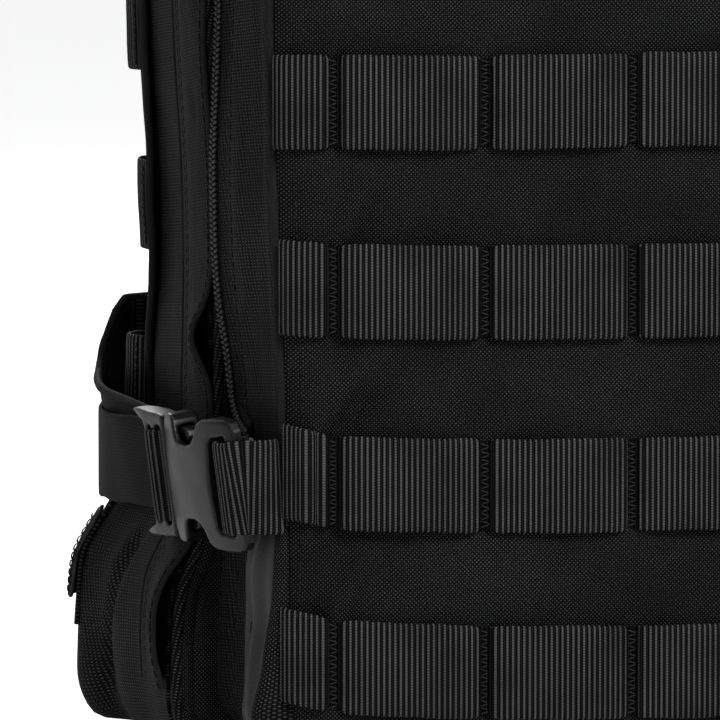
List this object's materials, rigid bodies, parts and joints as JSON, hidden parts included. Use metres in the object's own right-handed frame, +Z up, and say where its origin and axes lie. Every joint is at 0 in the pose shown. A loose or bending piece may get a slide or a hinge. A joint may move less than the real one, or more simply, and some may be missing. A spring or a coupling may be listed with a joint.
{
  "type": "trauma backpack",
  "caption": "Black clamshell medical backpack with zipped front and upper pockets, ladder webbing, side compression buckles, padded back, shoulder straps, waist belt and handle.",
  "frame": {"origin": "on the ground under the middle of the main compartment, on its flat base", "axes": "+Z up; -Y is the front, where the pockets are; +Y is the wearer's back; +X is the right side seen from the front"},
  "size_m": [0.3254, 0.231, 0.4975],
  "materials": {
    "cordura": "matte woven nylon",
    "webbing": "ribbed woven nylon",
    "plastic": "satin moulded acetal",
    "air_mesh": "matte spacer mesh",
    "lining": "smooth nylon lining",
    "loop": "brushed loop",
    "zip_metal": "black painted"
  },
  "bodies": {
    "pack_body": {"main_shell": "cordura", "storm_flap": "cordura", "main_zip": "cordura", "frame_sheet": "plastic", "inner_sleeve": "lining", "right_back_pad": "air_mesh", "left_back_pad": "air_mesh", "lumbar_pad": "air_mesh", "harness_yoke": "cordura", "right_anchor_wing": "cordura", "left_anchor_wing": "cordura", "right_side_ladder": "webbing", "left_side_ladder": "webbing", "right_lower_rear_webbing": "webbing", "left_lower_rear_webbing": "webbing", "right_upper_rear_webbing": "webbing", "left_upper_rear_webbing": "webbing"},
    "lid": {"lid_panel": "cordura", "lid_mesh_pocket": "air_mesh", "pocket_organiser": "lining", "right_upper_buckle_female": "plastic", "left_upper_buckle_female": "plastic", "right_upper_front_webbing": "webbing", "left_upper_front_webbing": "webbing"},
    "front_pocket": {"front_pocket": "cordura", "front_row_1": "webbing", "front_row_2": "webbing", "front_row_3": "webbing", "front_row_4": "webbing", "front_row_5": "webbing", "right_lower_buckle_female": "plastic", "left_lower_buckle_female": "plastic", "right_lower_front_webbing": "webbing", "left_lower_front_webbing": "webbing"},
    "upper_pocket": {"upper_pocket": "cordura", "upper_row": "webbing", "loop_field": "loop"},
    "carry_handle": {"carry_handle": "webbing"},
    "right_lower_buckle": {"right_lower_buckle_male": "plastic"},
    "right_upper_buckle": {"right_upper_buckle_male": "plastic"},
    "left_lower_buckle": {"left_lower_buckle_male": "plastic"},
    "left_upper_buckle": {"left_upper_buckle_male": "plastic"},
    "right_shoulder_strap": {"right_shoulder_pad": "air_mesh", "right_ladder_lock": "plastic", "right_lower_shoulder_webbing": "webbing"},
    "right_sternum_strap": {"right_sternum_webbing": "webbing", "right_sternum_buckle": "plastic"},
    "left_shoulder_strap": {"left_shoulder_pad": "air_mesh", "left_ladder_lock": "plastic", "left_lower_shoulder_webbing": "webbing"},
    "left_sternum_strap": {"left_sternum_webbing": "webbing", "left_sternum_buckle": "plastic"},
    "right_waist_belt": {"right_waist_webbing": "webbing", "right_waist_buckle": "plastic"},
    "left_waist_belt": {"left_waist_webbing": "webbing", "left_waist_buckle": "plastic"},
    "right_main_slider": {"right_main_slider": "zip_metal"},
    "left_main_slider": {"left_main_slider": "zip_metal"},
    "pocket_slider": {"pocket_slider": "zip_metal"},
    "upper_slider": {"upper_slider": "zip_metal"}
  },
  "joints": [
    {"name": "lid_hinge", "type": "hinge", "parent": "pack_body", "child": "lid", "pos_m": [0, -0.037, 0], "axis": [1, 0, 0], "range_deg": [0, 90], "stiffness_Nm_per_rad": 25},
    {"name": "front_pocket_hinge", "type": "hinge", "parent": "lid", "child": "front_pocket", "pos_m": [0, -0.0455, 0.009], "axis": [1, 0, 0], "range_deg": [0, 85], "stiffness_Nm_per_rad": 10},
    {"name": "upper_pocket_hinge", "type": "hinge", "parent": "lid", "child": "upper_pocket", "pos_m": [0, -0.0455, 0.3], "axis": [1, 0, 0], "range_deg": [0, 90], "stiffness_Nm_per_rad": 4},
    {"name": "carry_handle_hinge", "type": "hinge", "parent": "pack_body", "child": "carry_handle", "pos_m": [0, 0.08, 0.443], "axis": [1, 0, 0], "range_deg": [-85, 10]},
    {"name": "right_lower_buckle_release", "type": "slide", "parent": "pack_body", "child": "right_lower_buckle", "axis": [0.2079, 0.9781, 0], "range_m": [0, 0.022]},
    {"name": "right_upper_buckle_release", "type": "slide", "parent": "pack_body", "child": "right_upper_buckle", "axis": [0.0175, 0.9998, 0], "range_m": [0, 0.022]},
    {"name": "left_lower_buckle_release", "type": "slide", "parent": "pack_body", "child": "left_lower_buckle", "axis": [-0.2079, 0.9781, 0], "range_m": [0, 0.022]},
    {"name": "left_upper_buckle_release", "type": "slide", "parent": "pack_body", "child": "left_upper_buckle", "axis": [-0.0175, 0.9998, 0], "range_m": [0, 0.022]},
    {"name": "right_shoulder_strap_hinge", "type": "hinge", "parent": "pack_body", "child": "right_shoulder_strap", "pos_m": [0.052, 0.082, 0.405], "axis": [1, 0, 0], "range_deg": [0, 35], "stiffness_Nm_per_rad": 2},
    {"name": "right_sternum_slide", "type": "slide", "parent": "right_shoulder_strap", "child": "right_sternum_strap", "axis": [0, 0, 1], "range_m": [-0.03, 0.03], "stiffness_N_per_m": 200},
    {"name": "left_shoulder_strap_hinge", "type": "hinge", "parent": "pack_body", "child": "left_shoulder_strap", "pos_m": [-0.052, 0.082, 0.405], "axis": [1, 0, 0], "range_deg": [0, 35], "stiffness_Nm_per_rad": 2},
    {"name": "left_sternum_slide", "type": "slide", "parent": "left_shoulder_strap", "child": "left_sternum_strap", "axis": [0, 0, 1], "range_m": [-0.03, 0.03], "stiffness_N_per_m": 200},
    {"name": "right_waist_belt_hinge", "type": "hinge", "parent": "pack_body", "child": "right_waist_belt", "pos_m": [0.092, 0.096, 0.0345], "axis": [0, 0, -1], "range_deg": [0, 150]},
    {"name": "left_waist_belt_hinge", "type": "hinge", "parent": "pack_body", "child": "left_waist_belt", "pos_m": [-0.092, 0.096, 0.0665], "axis": [0, 0, 1], "range_deg": [0, 150]},
    {"name": "right_main_zip_slide", "type": "slide", "parent": "pack_body", "child": "right_main_slider", "axis": [0.0307, 0, 0.9995], "range_m": [-0.14, 0], "stiffness_N_per_m": 200},
    {"name": "left_main_zip_slide", "type": "slide", "parent": "pack_body", "child": "left_main_slider", "axis": [-0.0307, 0, 0.9995], "range_m": [-0.14, 0], "stiffness_N_per_m": 200},
    {"name": "pocket_zip_slide", "type": "slide", "parent": "lid", "child": "pocket_slider", "axis": [1, 0, 0], "range_m": [-0.16, 0.015]},
    {"name": "upper_zip_slide", "type": "slide", "parent": "lid", "child": "upper_slider", "axis": [1, 0, 0], "range_m": [-0.1, 0.012]}
  ]
}
